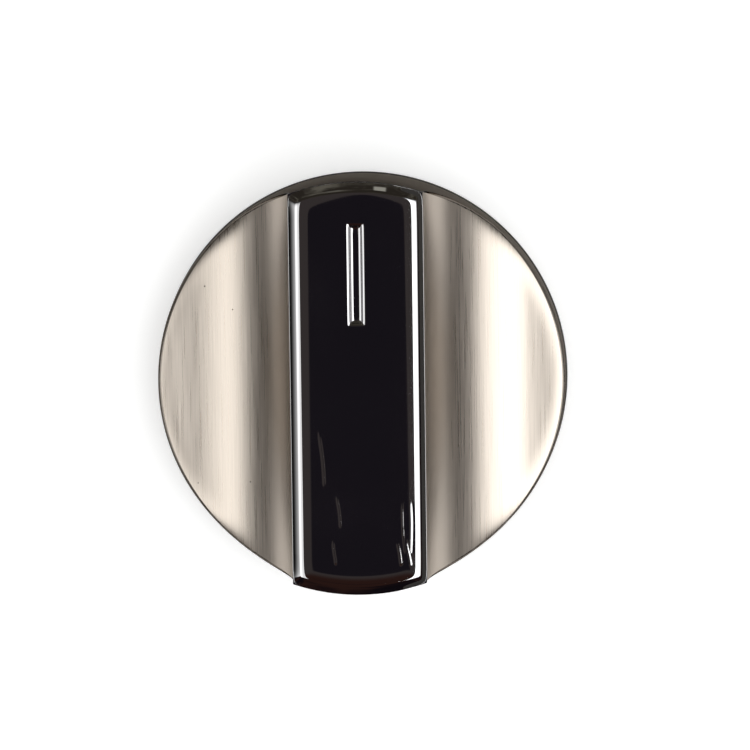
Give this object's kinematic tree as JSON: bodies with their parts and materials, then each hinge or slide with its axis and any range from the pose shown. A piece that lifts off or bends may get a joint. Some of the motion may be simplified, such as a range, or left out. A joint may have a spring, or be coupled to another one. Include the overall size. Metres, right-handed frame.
{
  "type": "stove knob",
  "caption": "Round satin stove knob with scooped wings, a polished grip cap with an indicator groove, and a slotted hub that clamps on a D-shaped stem.",
  "frame": {"origin": "centre of the rear rim's plane, on the stem axis", "axes": "+Z along the stem axis out of the knob's face, +Y along the grip towards the indicator, +X across the grip"},
  "size_m": [0.05, 0.05, 0.023],
  "materials": {
    "satin_body": "brushed satin nickel plating, fine straight lines along the grip",
    "polished_cap": "mirror-polished chrome plating",
    "hub_plastic": "black heat-resistant moulded plastic",
    "spring_steel": "bright spring steel strip"
  },
  "bodies": {
    "root": {"knob_body": "satin_body", "grip_cap": "polished_cap", "stem_hub": "hub_plastic", "spring_ring": "spring_steel"}
  },
  "joints": []
}
